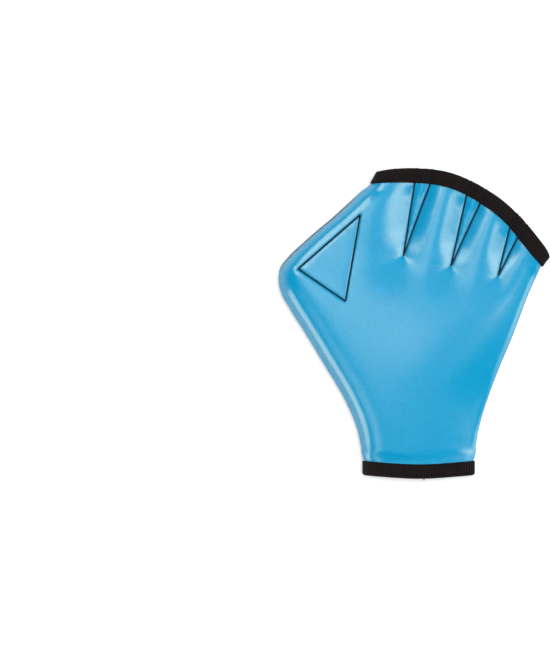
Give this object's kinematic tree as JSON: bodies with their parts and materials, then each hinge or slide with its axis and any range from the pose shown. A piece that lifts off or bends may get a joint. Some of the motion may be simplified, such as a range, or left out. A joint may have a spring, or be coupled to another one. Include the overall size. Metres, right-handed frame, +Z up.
{
  "type": "webbed swim glove",
  "caption": "Fingertip-free neoprene swim glove for a right hand, with stitched webs between the fingers and thumb to push water.",
  "frame": {"origin": "centre of the box round the glove, on the surface it lies on", "axes": "+Z up out of the back of the hand, +Y from the wrist towards the fingers, -X towards the thumb"},
  "size_m": [0.1948, 0.222, 0.0216],
  "materials": {
    "back_panel": "smooth nylon jersey over neoprene, soft sheen",
    "palm_panel": "matt ribbed knit over neoprene",
    "finger_binding": "matt woven tape",
    "wrist_binding": "matt woven tape"
  },
  "bodies": {
    "root": {"back_panel": "back_panel", "palm_panel": "palm_panel", "finger_binding": "finger_binding", "wrist_binding": "wrist_binding"}
  },
  "joints": []
}
